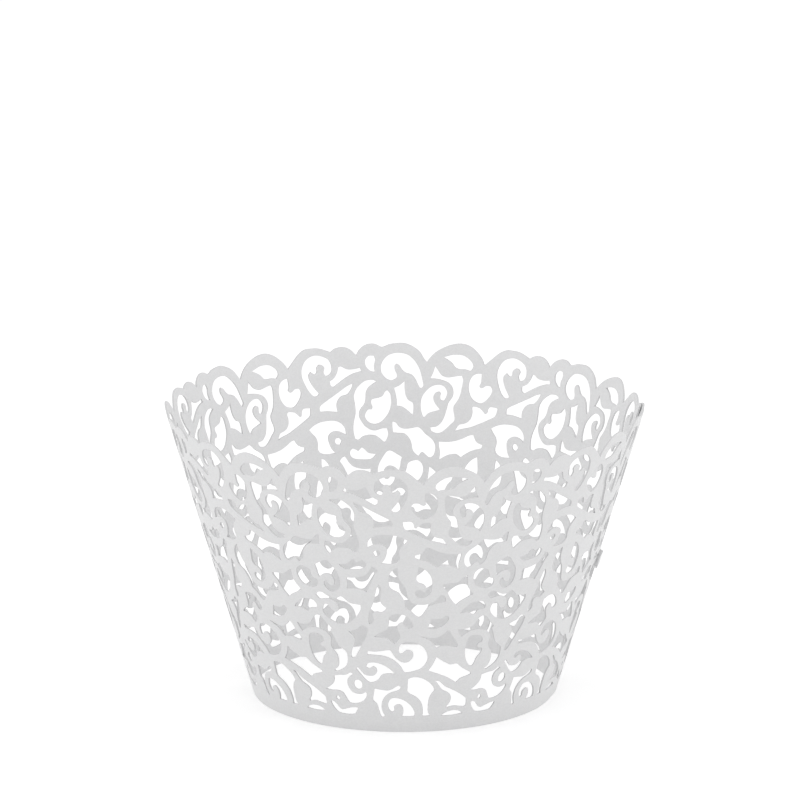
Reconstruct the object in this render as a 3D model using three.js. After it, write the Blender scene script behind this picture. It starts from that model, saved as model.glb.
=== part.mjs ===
// Cupcake wrapper: one sheet of pearl card, laser cut with a vine scroll, rolled to a
// cone and closed by a tab in a slot. Millimetres, +Z up, origin at the middle of the base.
import * as THREE from "three";

// Driving dimensions
const baseDiameter = 50;
const mouthDiameter = 79;
const wrapperHeight = 49;
const cardThickness = 0.3;
const repeatCount = 7;
const bandHeight = 2.9;

// The share of a repeat that lies before the inner end of the sheet
const patternStart = 0.816;

// Seam: the outer end of the sheet laps over the inner end
const seamDegrees = 1.4;
const seamOverlap = 2.4;
const seamMargin = 3.2;
const layerGap = 0.22;
const liftLength = 9;

// Tab on the inner end, and the slot that it comes through
const tabLevel = 24;
const tabHeight = 2.3;
const tabLength = 5.4;
const tabCorner = 0.6;
const slotMargin = 0.3;
const slotStart = 0.2;
const slotWidth = 2;

// Facets: the least share of a repeat's area that a point of a curve has to add
const smallestFacetShare = 0.00045;
const fewestCorners = 5;
const bandFacetDegrees = 8;

// The vine scroll of one repeat, drawn flat in millimetres: [along the card, up from the base].
// Each list is one cut-out. Smooth curves join its points, apart from sharp corners.
const cutouts = [
  // Foot of the vine
  [[8.6, 3], [9.5, 3.5], [10.7, 3.8], [12.1, 3.7], [13.1, 3.1], [10.8, 2.9]],
  [
    [14.7, 5.1], [15.1, 5.2], [15.8, 4.8], [16.4, 4.1], [16.8, 3.8], [17.3, 3.8], [18.2, 4.1],
    [19.4, 4.4], [20.3, 4.4], [20, 3.8], [19.5, 3.2], [18.5, 3], [17, 3], [16, 3.2], [15.3, 3.8],
    [14.8, 4.6],
  ],
  [[16, 5.7], [16.5, 5.5], [16.8, 5.9], [16.6, 6.3], [16.1, 6.3]],
  [
    [14.1, 7.4], [14.9, 7.9], [15.7, 8.6], [16.1, 9.4], [16.1, 10.1], [17.4, 10.4], [18.5, 10.5],
    [19.5, 11.1], [20, 10.8], [19.1, 10.2], [18.7, 9.4], [18.8, 8.4], [19.4, 7.5], [20.3, 7.1],
    [21.3, 7.1], [22.2, 7.5], [22.3, 6.9], [21.6, 5.9], [20.4, 5.3], [18.9, 5.2], [18.3, 5.8],
    [17.6, 7], [16.6, 7.4], [15.3, 7.3],
  ],
  [[20.8, 8], [21.4, 8.3], [21.6, 8.9], [21.4, 9.5], [20.8, 9.8], [20.2, 9.5], [20, 8.9], [20.2, 8.3]],
  [
    [7, 9.8], [7.8, 9.6], [8.8, 8.7], [9.9, 8.1], [11.3, 7.4], [13.4, 6], [13.7, 5.3], [13.7, 4.6],
    [13.2, 4.4], [11.3, 4.7], [10.3, 4.6], [9.8, 4.4], [9.7, 4.8], [10.2, 5.4], [10.4, 6.3],
    [10, 7.2], [8.7, 7.9], [8.2, 8.4], [7.6, 9.2],
  ],
  [
    [23.9, 8.3], [26.1, 8], [27.1, 8.2], [27.8, 8.6], [28.4, 9], [28.8, 8.8], [28.7, 8.3],
    [27.9, 7.9], [26.9, 7.6], [26.1, 7.1], [25.4, 6.3], [25.1, 5.3], [25.1, 4.4], [25.4, 3.6],
    [25.7, 3.1], [25.3, 2.9], [24.9, 3.1], [24.6, 4.1], [24.2, 5.4], [23.5, 6.1], [23.7, 7.2],
  ],
  [
    [27.2, 3.9], [26.7, 4.3], [26.4, 5.1], [26.6, 5.9], [27, 6.4], [27.6, 6.6], [28.5, 6.5],
    [29.4, 6.2], [30.3, 5.6], [31, 4.9], [31.5, 4], [31.6, 3.5], [31.3, 3.1], [29.1, 3.1],
    [29.4, 3.8], [29.4, 4.5], [29.1, 5.1], [28.6, 5.4], [28, 5.3], [27.5, 4.9], [27.6, 4.2],
  ],
  [
    [2, 7.7], [1.9, 8.6], [2, 10.3], [3, 10.6], [4, 10.5], [5, 10.1], [6, 9.4], [6.7, 8.6],
    [7, 7.9], [6.4, 7.2], [6, 6.2], [5.9, 4.8], [6, 3.7], [6.4, 3.1], [4.9, 3.1], [5, 4],
    [4.8, 5.2], [4.3, 6.1], [3.4, 6.9],
  ],
  // Lower scrolls
  [
    [20.7, 11.9], [21, 12.2], [21.4, 11.8], [22.2, 10.9], [23.2, 10.7], [24.1, 10.9], [24.6, 11.6],
    [24.4, 12.3], [23.9, 12.6], [23.1, 12.1], [22.6, 12.4], [22.9, 13], [23.7, 13.3], [24.8, 13.2],
    [26.1, 12.7], [27.2, 11.9], [27.9, 11.2], [26.6, 11.3], [25.4, 11], [24.7, 10.1], [23.9, 9.6],
    [23.1, 9.5], [22.4, 9.9], [21.6, 10.8],
  ],
  [
    [5.6, 11.8], [6.4, 12.9], [7, 14.3], [7.8, 13.7], [8.8, 13.1], [9.7, 12.7], [10.8, 12.8],
    [11.9, 11.9], [13.8, 10.8], [13.8, 10.5], [12.9, 10.2], [11.9, 9.9], [11.1, 9.2], [10, 9.9],
    [8.7, 10.6],
  ],
  [
    [16.4, 11.3], [16.9, 11.1], [17.9, 11.6], [18.7, 12.2], [19.2, 13.1], [19.3, 14.2], [19.1, 15.1],
    [18, 16], [17.5, 16.9], [17.1, 18], [16.7, 18.9], [17, 19.3], [16.2, 20.2], [15.4, 21.2],
    [14.9, 21.5], [14.3, 21.4], [13.7, 20.8], [13.2, 20], [12.4, 19.5], [11.4, 19.3], [10.3, 19.4],
    [10.8, 18.3], [11.1, 17.9], [12.4, 18.7], [13.4, 19], [14.7, 18.9], [15.8, 18.5], [16.5, 17.7],
    [16.6, 16.9], [16.4, 16.1], [16.7, 15.2], [17.3, 14.4], [17.5, 13.3], [17.4, 12.4], [17, 11.7],
  ],
  [
    [13, 17.9], [14.1, 17.9], [14.9, 17.6], [15.2, 17], [15.1, 16.5], [14.6, 16.3], [14.3, 15.9],
    [14.6, 15.6], [15.2, 15.4], [15.4, 14.9], [15.1, 14.2], [14.6, 13.6], [14.1, 12.3],
    [13.6, 12.1], [12.9, 12.7], [12.3, 14], [12.1, 15.6], [12.3, 17.2],
  ],
  [
    [19.9, 19], [20.7, 19.3], [21.6, 19.6], [22.1, 20.2], [22.8, 20.3], [23.4, 19.7], [23.1, 18.4],
    [22.3, 16.9], [21.5, 15.5], [20.8, 14.3], [20.3, 14], [20, 14.3], [20.2, 15.4], [20.7, 16.5],
    [21, 17.5], [20.6, 18.4],
  ],
  [
    [23, 15.5], [24.3, 15.4], [25.7, 15.6], [26.9, 15.8], [27.3, 15.4], [27.9, 14.4], [28.7, 13.7],
    [29.6, 13.4], [30.5, 13.7], [31.1, 14.5], [31.1, 15.3], [30.6, 15.8], [29.9, 15.8],
    [29.3, 15.3], [28.8, 15.1], [28.6, 15.6], [28.7, 16.4], [29.2, 17.1], [30.1, 17.4],
    [31.2, 17.3], [32.2, 16.8], [33, 16.1], [33.5, 15.1], [33.7, 14], [33.3, 13], [32.5, 12.2],
    [31.4, 11.8], [29.8, 11.5], [29.3, 12], [28.9, 12.7], [28, 13.6], [26.9, 14.3], [25.4, 14.7],
    [23, 14.8],
  ],
  [
    [3.8, 18.5], [5, 18.2], [6.4, 18], [7.4, 18.3], [8.1, 18.8], [8.5, 19.3], [9, 19.2], [9.5, 18.3],
    [10.6, 16.6], [10.5, 16], [9.5, 16.2], [8.5, 16.4], [7.4, 16.3], [6.9, 16.1], [6.2, 17],
    [5.3, 17.8],
  ],
  // Middle scrolls
  [
    [5.7, 21.7], [6.6, 21.6], [7.4, 21.7], [8, 22.1], [8.5, 22.1], [8.7, 21.6], [8.4, 20.9],
    [7.8, 20.3], [7, 19.9], [6.1, 19.7], [5.2, 19.9], [5.4, 20.6],
  ],
  [
    [10.5, 22.4], [10.8, 23], [11.4, 23.6], [12.3, 24.2], [13.4, 24.4], [14.3, 24.2], [14.8, 23.6],
    [14.8, 22.9], [14.1, 22.8], [13.5, 22.7], [13.2, 22.1], [12.8, 22], [12.2, 22.3], [11.5, 22.5],
  ],
  [
    [14.9, 25.4], [15.4, 25.9], [16.1, 26], [16.7, 25.6], [17.5, 25.2], [18.4, 25.1], [19.1, 25.5],
    [19.5, 25.5], [20.1, 24.9], [20.8, 24.4], [22.4, 24.2], [22.4, 23.4], [21.8, 22.3], [21, 21.3],
    [20.1, 20.6], [19, 20.3], [17.9, 20.5], [16.9, 21], [16.1, 21.8], [15.8, 22.6], [16, 23.4],
    [16.4, 23.8], [16.9, 23.7], [17.3, 23.1], [17.8, 22.5], [18.4, 22.6], [18.7, 23.3],
    [18.5, 24.2], [17.9, 24.7], [17, 24.9], [16.2, 24.8], [15.5, 24.7],
  ],
  [
    [23.6, 21], [23.8, 20.6], [24.3, 21], [24.5, 21.6], [24.3, 22.3], [24.5, 22.9], [25.1, 23.1],
    [25.9, 23], [26.7, 23.8], [26.1, 24.3], [25.7, 25], [25.7, 25.8], [25.9, 26.7], [25.9, 27.5],
    [25.6, 28.3], [25.3, 27.8], [25, 26.7], [24.4, 24.3], [23.8, 22.9],
  ],
  [
    [24.4, 18.3], [25.1, 18.9], [25.9, 19.3], [26.6, 19.7], [26.9, 20.4], [27, 21.3], [27, 22.2],
    [27.8, 22.6], [28.7, 22.7], [29.7, 22.4], [30.5, 21.6], [31, 20.6], [30.8, 20.1], [30.1, 19.9],
    [29.7, 20.3], [29.4, 20.9], [29, 21.1], [28.6, 20.8], [28.3, 20.3], [28.5, 19.5], [28.9, 18.4],
    [28.4, 17.5], [27.9, 17], [27.4, 17.4], [26.5, 18.1], [25.6, 18.2],
  ],
  [
    [0.2, 31.6], [-0.4, 31.2], [-1, 30.3], [-1.2, 29.2], [-1.1, 28], [-0.7, 27.4], [0.3, 26.8],
    [0.9, 25.9], [1.3, 24.9], [1.4, 24], [2.3, 23.3], [3, 22.5], [3.6, 22.1], [4.1, 22.4],
    [4.6, 23.2], [5.2, 24.1], [6, 24.5], [7.2, 24.7], [7.9, 24.9], [7.8, 25.7], [7.4, 26.1],
    [6.9, 26], [6.3, 25.2], [5.5, 24.7], [4.3, 24.4], [3.2, 24.5], [2.3, 25], [1.9, 25.8],
    [1.6, 27], [1.3, 27.9], [0.7, 28.8], [0.3, 29.9], [0.3, 30.8],
  ],
  [
    [7.2, 28.1], [7.4, 27.5], [8, 26.8], [8.4, 25.9], [9, 24.9], [9.7, 24.1], [10.3, 24.7],
    [11.3, 25.3], [12.4, 25.9], [11.8, 26.7], [11.3, 27.6], [11.2, 28.6], [11.1, 29.6],
    [10.4, 29.1], [9.5, 28.4], [8.4, 28.3],
  ],
  [
    [3.4, 31.7], [4.2, 31.2], [4.9, 30.4], [5.4, 29.4], [5.6, 28.2], [5.5, 27], [5.1, 26.2],
    [4.4, 25.8], [3.6, 25.8], [3, 26.3], [3, 27], [3.4, 27.3], [4, 27.1], [4.4, 26.8], [4.7, 27.2],
    [4.6, 27.9], [4.1, 28.4], [3.4, 28.7], [3.1, 29.3], [3.2, 30.4],
  ],
  // Upper scrolls
  [
    [2.8, 33.8], [3.8, 34.2], [4.4, 35.3], [5.1, 35.1], [6.1, 34.5], [7.4, 34], [8.7, 33.8],
    [9.8, 33.8], [9.7, 32.9], [9.5, 31.9], [9.6, 30.8], [8.4, 31.6], [7.3, 31.9], [6.7, 31.8],
    [6.2, 31.4], [5.5, 32], [4.4, 32.7], [3, 33.2],
  ],
  [
    [11, 31.1], [10.5, 31.6], [10.3, 32.5], [10.4, 33.4], [10.9, 34.2], [11.9, 35], [12.5, 35.7],
    [13.1, 36.1], [14, 35.9], [15.1, 35.8], [15.9, 36.1], [16.4, 36.8], [16.9, 37], [16.9, 36.2],
    [16.8, 35.2], [16, 35.1], [15.1, 35], [14.4, 34.3], [14, 33.4], [13.8, 32.3], [13.4, 31.7],
    [12.9, 31.3], [12.6, 31.8], [12.3, 32], [11.8, 31.6], [11.4, 31.2],
  ],
  [
    [13, 30.6], [13.8, 30.5], [14.5, 30.1], [14.7, 29.3], [15, 28.6], [15.5, 28.5], [15.7, 27.9],
    [15.5, 27.2], [14.9, 26.8], [14.1, 26.8], [13, 27.2], [12.4, 27.9], [12.1, 29], [12.3, 30],
  ],
  [
    [15.5, 31.1], [16.4, 31.7], [17.3, 32.2], [17.9, 32], [18.6, 31], [19.2, 29.9], [19.4, 28.7],
    [19.3, 27.6], [18.8, 26.7], [17.9, 26.3], [17.2, 26.6], [16.7, 27.4], [16.7, 28.1],
    [17.2, 28.4], [17.4, 27.9], [17.8, 27.5], [18.3, 27.6], [18.5, 28.3], [18.2, 29.3],
    [17.5, 29.7], [16.7, 29.5], [16, 28.9], [15.8, 29.6], [15.7, 30.4],
  ],
  [
    [19.5, 31.7], [20.3, 31.8], [20.9, 32], [21.4, 32.6], [21.8, 32.9], [22.1, 32.6], [22.4, 32.3],
    [22.8, 32.6], [23.3, 32.8], [23.7, 32.3], [23.6, 31.6], [23, 31.1], [21.8, 30.9], [20.4, 30.9],
  ],
  [
    [20.5, 29.3], [21.6, 29.3], [22.9, 29.6], [23.7, 30.1], [24.2, 30.9], [24.6, 31.6],
    [25.1, 31.4], [25.5, 30.9], [25, 30.1], [24.5, 28.9], [24, 27.6], [23.6, 26.7], [22.9, 27.1],
    [22.1, 27.3], [20.4, 27.2], [20.6, 28.2],
  ],
  [
    [19.1, 43.7], [19.7, 44], [20.7, 43.9], [21.6, 43.2], [22.2, 42.4], [22.5, 41.4], [22.4, 40.1],
    [22.4, 38.6], [22.8, 37], [22.9, 35.7], [22.7, 34.4], [22.2, 34.2], [21.5, 34.7], [20.6, 34.9],
    [19.6, 34.8], [18.9, 34.3], [18.2, 33.6], [17.8, 34.1], [17.6, 35], [17.8, 35.9], [18.5, 35.9],
    [19.5, 35.6], [20.4, 35.8], [21.2, 36.5], [21.8, 37.6], [21.9, 38.5], [21.6, 39.3],
    [21, 40.1], [20.8, 41], [20.7, 42], [20.2, 42.9],
  ],
  [
    [17.1, 40.8], [17.2, 41.6], [17.6, 42.2], [17.9, 42], [18.3, 41.3], [18.9, 41], [19.8, 40.8],
    [20, 40.3], [19.8, 39.5], [20, 39.1], [20.5, 39.1], [20.9, 38.5], [21, 38], [20.7, 37.3],
    [20.1, 36.8], [19.3, 36.7], [18.5, 37.1], [17.8, 37.9], [17.3, 38.9], [17.1, 39.9],
  ],
  [
    [15.1, 43.7], [15.8, 43], [16.6, 42.6], [16.4, 41.8], [16.2, 40.6], [16.2, 39.6], [15.5, 39.5],
    [14.8, 39], [13.9, 38.1], [13.8, 39.1], [13.9, 40.1], [14.5, 40.5], [14.9, 41.2], [15.1, 42.3],
  ],
  [
    [8.9, 41.9], [9.1, 42.6], [9.6, 43.1], [10.4, 43.2], [11.3, 42.8], [12.1, 41.9], [12.6, 40.8],
    [12.7, 39.5], [12.5, 38.3], [12.2, 37.7], [11.6, 38.4], [10.9, 38.7], [9.8, 39.1], [10.4, 39.8],
    [10.8, 40.5], [10.9, 41.3], [10.6, 41.9], [10.1, 42.1], [9.8, 41.8], [9.9, 41.2], [9.8, 40.7],
    [9.4, 40.6], [9.1, 41.1],
  ],
  [
    [10.8, 46.3], [11, 45.3], [11.4, 44.2], [10.6, 44.2], [9.7, 44], [8.9, 43.7], [8.3, 43.1],
    [8, 42.2], [8.1, 41.2], [8.6, 40.3], [8.8, 39.4], [9.1, 38], [9.5, 37], [10.2, 36.3],
    [11.2, 36.1], [11, 35.5], [10.3, 35.2], [9.6, 35.3], [8.9, 35.9], [8.2, 36.7], [7.6, 37.4],
    [7.6, 38.2], [7.8, 39], [7.8, 39.9], [7.4, 40.6], [7, 41.6], [6.8, 42.9], [6.7, 44.2],
    [6.9, 44.9], [7.6, 44.8], [8.9, 44.5], [9.8, 44.8], [10.3, 45.5],
  ],
  [
    [24.1, 35.2], [24.2, 36.2], [24.8, 37.1], [25.7, 37.6], [26.8, 37.7], [28, 37.6], [29.1, 37.2],
    [30, 36.6], [29.6, 36], [29, 35.2], [28.8, 34.2], [28.9, 33.2], [28.4, 32.5], [27.4, 32.2],
    [26.1, 32.3], [26.6, 33], [26.9, 33.9], [27, 34.9], [26.6, 35.6], [25.8, 35.9], [24.9, 35.7],
  ],
  [[25.2, 33.6], [25.7, 33.7], [26, 34.2], [25.8, 34.7], [25.3, 34.7], [24.9, 34.2]],
  // Top scrolls, under the scallops
  [
    [5.4, 46.4], [5.5, 47.1], [6.1, 47.8], [7, 48.3], [8.3, 48.3], [9.7, 47.8], [9, 47.4],
    [8.4, 46.9], [8, 46.3], [7.4, 46], [6.5, 46], [5.8, 45.8],
  ],
  [
    [4, 45.5], [4.8, 45.4], [5.5, 44.7], [5.8, 43.6], [5.7, 42.4], [5.2, 41.3], [4.3, 40.7],
    [3.6, 40.7], [2.9, 41.3], [2.3, 42.3], [2.2, 43.1], [2.5, 43.6], [3.1, 43.6], [3.5, 43.3],
    [3.9, 43.1], [4.2, 43.5], [4, 44.1],
  ],
  [
    [28, 42], [27.7, 42.3], [28, 42.8], [28.5, 43.6], [28.9, 44.6], [29, 45.5], [28.6, 46.1],
    [28.2, 45.7], [27.9, 45.6], [27.7, 46], [27.7, 46.6], [27.3, 47.1], [26.8, 47], [26.5, 46.5],
    [26.7, 45.8], [26.4, 45.1], [25.9, 45.3], [25.5, 45.9], [25.5, 46.9], [25.9, 47.8],
    [26.7, 48.4], [27.8, 48.7], [28.9, 48.3], [29.6, 47.5], [30, 46.4], [30, 45.2], [29.6, 43.8],
    [29.1, 42.7], [28.5, 42],
  ],
  [
    [21.2, 45.5], [21.4, 46.1], [22.4, 45.9], [23.4, 46], [24.1, 46.5], [24.5, 46.4], [24.7, 45.6],
    [25.2, 44.7], [25.9, 44.2], [25.8, 43.5], [25.4, 43.2], [24.6, 43.8], [23.5, 44.6],
    [22.4, 45.2],
  ],
  [
    [22.5, 43.6], [23.4, 43.2], [24.4, 42.5], [25.6, 41.7], [26.7, 41], [27.8, 40.2], [27.8, 39.3],
    [26.7, 39.3], [25.1, 39], [25.2, 40.1], [24.9, 41], [24.3, 41.6], [23.5, 41.8], [23, 42.4],
    [22.7, 43],
  ],
  [
    [12.8, 42.5], [12.4, 43], [12.6, 44.1], [13, 45.7], [13.7, 47.1], [14.7, 48.1], [16, 48.4],
    [17.2, 48.1], [18, 47.3], [18.4, 46.2], [18.3, 45.1], [17.7, 44.2], [17, 43.8], [16.3, 44.2],
    [16.2, 44.8], [16.5, 45.6], [16.5, 46.3], [16.2, 46.6], [15.8, 46.3], [15.4, 45.6],
    [14.9, 45.1], [14.1, 44.8], [13.5, 44], [13.1, 43],
  ],
  [
    [19.4, 48], [20.1, 48], [20.6, 47.3], [20.5, 46.3], [19.9, 45.5], [19.3, 45.3], [19.4, 46.3],
    [19.2, 47.2],
  ],
  [
    [1, 40.1], [2.1, 40.2], [2.5, 39.7], [2.6, 39.1], [2.9, 38.9], [3.2, 39.3], [3.8, 39.8],
    [4.7, 40], [5, 39.7], [4.9, 39], [5, 38.1], [5.4, 37.4], [6, 37], [6.7, 36.8], [7.1, 36.2],
    [7.4, 35.7], [6.4, 36.1], [5.1, 36.5], [4.1, 37], [3, 37.6], [1.9, 38.3], [1.2, 38.9],
  ],
];

// The scalloped top edge over the same repeat, from one valley to the next
const scallops = [
  [3.8, 47], [4.1, 47.8], [4.9, 48.9], [5.9, 49.8], [7, 50.2], [8.2, 50.1], [9.4, 49.6],
  [10.6, 48.8], [11.5, 47.8], [12, 46.9], [12.4, 47.5], [13, 48.6], [14, 49.5], [15.1, 50],
  [16.2, 50], [17.3, 49.8], [18.2, 49.4], [19, 49.9], [19.9, 50], [20.7, 49.7], [21.4, 49],
  [21.8, 48.2], [22.3, 48.9], [23, 49.5], [23.9, 49.7], [24.8, 49.5], [25.4, 49], [26.1, 49.4],
  [27.1, 49.8], [28.2, 49.9], [29.2, 49.8], [30.1, 49.2], [31, 48.2], [31.6, 47.5], [32.1, 47],
];

// Worked out from the driving dimensions
const baseRadius = baseDiameter / 2;
const mouthRadius = mouthDiameter / 2;
const slantHeight = Math.hypot(wrapperHeight, mouthRadius - baseRadius);
const horizontalPerThickness = slantHeight / wrapperHeight;
const fullTurn = Math.PI * (baseRadius + mouthRadius);
const repeatWidth = fullTurn / repeatCount;
const layerStep = cardThickness + layerGap;

// A corner turns more sharply than this
const cornerTurn = THREE.MathUtils.degToRad(58);
const samplesPerStep = 6;

// A scrap of a cut-out is left uncut below this share of a repeat's area
const smallestCutShare = 0.00048;
const smallestCut = smallestCutShare * repeatWidth * slantHeight;
const smallestFacet = smallestFacetShare * repeatWidth * slantHeight;

// Limits of the flat geometry
const smallestStep = 0.3;
const sidewaysBow = 0.0005;
const smallestTurn = 1e-7;
const roundEnough = 1e-6;
const mostPasses = 60;

// The drawing's own size, which the real card is scaled from
const drawnWidth = scallops.at(-1)[0] - scallops[0][0];
const drawnTop = Math.max(...scallops.map((point) => point[1]));
const drawnBottom = Math.min(...cutouts.flat().map((point) => point[1]));

function onCard([along, up]) {
  const share = (up - drawnBottom) / (drawnTop - drawnBottom);
  return new THREE.Vector2(
    (along / drawnWidth) * repeatWidth,
    bandHeight + share * (slantHeight - bandHeight),
  );
}

function turnAt(before, point, after) {
  const arriving = point.clone().sub(before).angle();
  const leaving = after.clone().sub(point).angle();
  const turn = Math.abs(leaving - arriving);
  return Math.min(turn, 2 * Math.PI - turn);
}

// Smooth curves through the points of an open line, broken at its corners
function smoothLine(points) {
  const line = [points[0]];
  let start = 0;
  for (let end = 1; end < points.length; end += 1) {
    const last = end === points.length - 1;
    if (last || turnAt(points[end - 1], points[end], points[end + 1]) > cornerTurn) {
      const stretch = points.slice(start, end + 1);
      const curve = new THREE.SplineCurve(stretch);
      line.push(...curve.getPoints((stretch.length - 1) * samplesPerStep).slice(1));
      start = end;
    }
  }
  return line;
}

// The same for a closed outline, begun at its sharpest corner
function smoothLoop(points) {
  const count = points.length;
  const turns = points.map((point, index) => (
    turnAt(points[(index + count - 1) % count], point, points[(index + 1) % count])
  ));
  const first = turns.indexOf(Math.max(...turns));
  const ring = [...points.slice(first), ...points.slice(0, first + 1)];
  if (turns[first] > cornerTurn) {
    return smoothLine(ring).slice(0, -1);
  }
  const round = new THREE.CatmullRomCurve3(points.map(({ x, y }) => new THREE.Vector3(x, y, 0)), true);
  return round.getPoints(count * samplesPerStep).slice(0, -1).map(({ x, y }) => new THREE.Vector2(x, y));
}

// Drop the point that changes the line least, again and again, until each one left matters
function simplify(line, closed) {
  const points = [...line];
  const weightAt = (index) => {
    const before = points[(index + points.length - 1) % points.length];
    const after = points[(index + 1) % points.length];
    return Math.abs(THREE.ShapeUtils.area([before, points[index], after]));
  };
  const first = closed ? 0 : 1;
  while (points.length > fewestCorners) {
    const last = points.length - first;
    let least = first;
    for (let index = first; index < last; index += 1) {
      least = weightAt(index) < weightAt(least) ? index : least;
    }
    if (weightAt(least) > smallestFacet) {
      break;
    }
    points.splice(least, 1);
  }
  return points;
}

// The parts of a loop on one side of the line across the card at the given place
function clipLoop(loop, place, side) {
  const inside = (point) => (point.x - place) * side > 0;
  if (loop.every(inside)) {
    return [loop];
  }
  const chains = [];
  let chain = null;
  const from = loop.findIndex((point, index) => (
    !inside(point) && inside(loop[(index + 1) % loop.length])
  ));
  if (from < 0) {
    return [];
  }
  for (let step = 0; step < loop.length; step += 1) {
    const here = loop[(from + step) % loop.length];
    const next = loop[(from + step + 1) % loop.length];
    if (chain && inside(here)) {
      chain.push(here);
    }
    if (inside(here) !== inside(next)) {
      const crossing = here.clone().lerp(next, (place - here.x) / (next.x - here.x));
      if (inside(next)) {
        chain = [crossing];
      } else {
        chain.push(crossing);
        chains.push(chain);
        chain = null;
      }
    }
  }
  return joinChains(chains);
}

// Chains of a clipped loop join along the cut: its ends, in order, pair off across the loop
function joinChains(chains) {
  const ends = chains.flatMap((chain, index) => [
    { index, atStart: true, level: chain[0].y },
    { index, atStart: false, level: chain.at(-1).y },
  ]).sort((one, other) => one.level - other.level);
  const partner = new Map();
  for (let pair = 0; pair < ends.length; pair += 2) {
    const [low, high] = [ends[pair], ends[pair + 1]];
    partner.set(low.atStart ? `start${low.index}` : `end${low.index}`, high);
    partner.set(high.atStart ? `start${high.index}` : `end${high.index}`, low);
  }
  const used = new Set();
  const loops = [];
  for (let first = 0; first < chains.length; first += 1) {
    const loop = [];
    for (let index = first; !used.has(index); index = partner.get(`end${index}`).index) {
      used.add(index);
      loop.push(...chains[index]);
    }
    if (loop.length > 0) {
      loops.push(loop);
    }
  }
  return loops;
}

// All the cut-outs of the flat sheet, with plain card left along both ends
function cutLoops() {
  const drawn = cutouts.map((points) => simplify(smoothLoop(points.map(onCard)), true));
  const loops = [];
  for (let repeat = -2; repeat <= repeatCount + 1; repeat += 1) {
    const shift = new THREE.Vector2((repeat - patternStart) * repeatWidth, 0);
    for (const loop of drawn) {
      const moved = loop.map((point) => point.clone().add(shift));
      const kept = clipLoop(moved, seamOverlap, 1).flatMap((part) => (
        clipLoop(part, fullTurn - seamMargin, -1)
      ));
      loops.push(...kept.filter((part) => (
        part === moved || Math.abs(THREE.ShapeUtils.area(part)) > smallestCut
      )));
    }
  }
  return loops;
}

function slotLoop() {
  const near = fullTurn - slotStart;
  const far = near - slotWidth;
  const low = tabLevel - tabHeight / 2 - slotMargin;
  const high = tabLevel + tabHeight / 2 + slotMargin;
  return [[far, low], [near, low], [near, high], [far, high]].map(([x, y]) => new THREE.Vector2(x, y));
}

// The flat sheet's own outline, without the cut-outs, from the inner end to the outer one
function sheetOutline() {
  const edge = simplify(smoothLine(scallops.map(onCard)), false);
  const end = fullTurn + seamOverlap;
  const bandSteps = Math.ceil((360 * end) / fullTurn / bandFacetDegrees);
  const bottom = [];
  for (let step = 0; step <= bandSteps; step += 1) {
    bottom.push(new THREE.Vector2((end * step) / bandSteps, 0));
  }
  const top = [];
  for (let repeat = -2; repeat <= repeatCount + 1; repeat += 1) {
    const shift = (repeat - patternStart) * repeatWidth;
    top.push(...edge.slice(0, -1).map((point) => new THREE.Vector2(point.x + shift, point.y)));
  }
  const kept = top.filter((point) => point.x > smallestStep && point.x < end - smallestStep);
  const ends = [0, end].map((place) => new THREE.Vector2(place, heightAt(top, place)));
  return [...bottom, ends[1], ...kept.reverse(), ends[0], ...tabOutline()];
}

function heightAt(line, place) {
  const after = line.findIndex((point) => point.x >= place);
  const [left, right] = [line[after - 1], line[after]];
  return left.clone().lerp(right, (place - left.x) / (right.x - left.x)).y;
}

function tabOutline() {
  const top = tabLevel + tabHeight / 2;
  const bottom = tabLevel - tabHeight / 2;
  const crossing = slotStart + slotWidth;
  return [
    [0, top], [-slotStart, top], [-crossing, top], [tabCorner - tabLength, top],
    [-tabLength, top - tabCorner], [-tabLength, bottom + tabCorner],
    [tabCorner - tabLength, bottom], [-crossing, bottom], [-slotStart, bottom], [0, bottom],
  ].map(([x, y]) => new THREE.Vector2(x, y));
}

// How far the sheet stands out from the cone at a place along it: the outer end climbs over
// the inner end, and the tab climbs through the slot to lie on the outer end
function liftAt(place) {
  const climb = (along) => (
    layerStep * THREE.MathUtils.smoothstep(along, fullTurn - liftLength, fullTurn - slotStart)
  );
  if (place >= 0) {
    return climb(place);
  }
  const through = THREE.MathUtils.clamp((-slotStart - place) / slotWidth, 0, 1);
  return through * (climb(place + fullTurn) + layerStep);
}

// Bend a point of the flat sheet round the cone, at a depth of card behind the outer face
function onCone(point, depth) {
  const share = point.y / slantHeight;
  const outward = (liftAt(point.x) - depth) * horizontalPerThickness;
  const radius = baseRadius + (mouthRadius - baseRadius) * share + outward;
  const angle = THREE.MathUtils.degToRad(seamDegrees) + (2 * Math.PI * point.x) / fullTurn;
  return [radius * Math.cos(angle), radius * Math.sin(angle), wrapperHeight * share];
}

// The same point on the sheet as it is cut from the table: the cone unrolls to part of a ring
function onTable(point) {
  const flare = (mouthRadius - baseRadius) / slantHeight;
  const ringRadius = baseRadius / flare + point.y;
  const angle = ((2 * Math.PI * point.x) / fullTurn) * flare;
  return new THREE.Vector2(ringRadius * Math.sin(angle), ringRadius * Math.cos(angle));
}

// And with the sheet bowed sideways by a hair, so that no three corners lie on one line
function onBowedTable({ x, y }) {
  return onTable(new THREE.Vector2(x + sidewaysBow * y ** 2, y));
}

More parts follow.
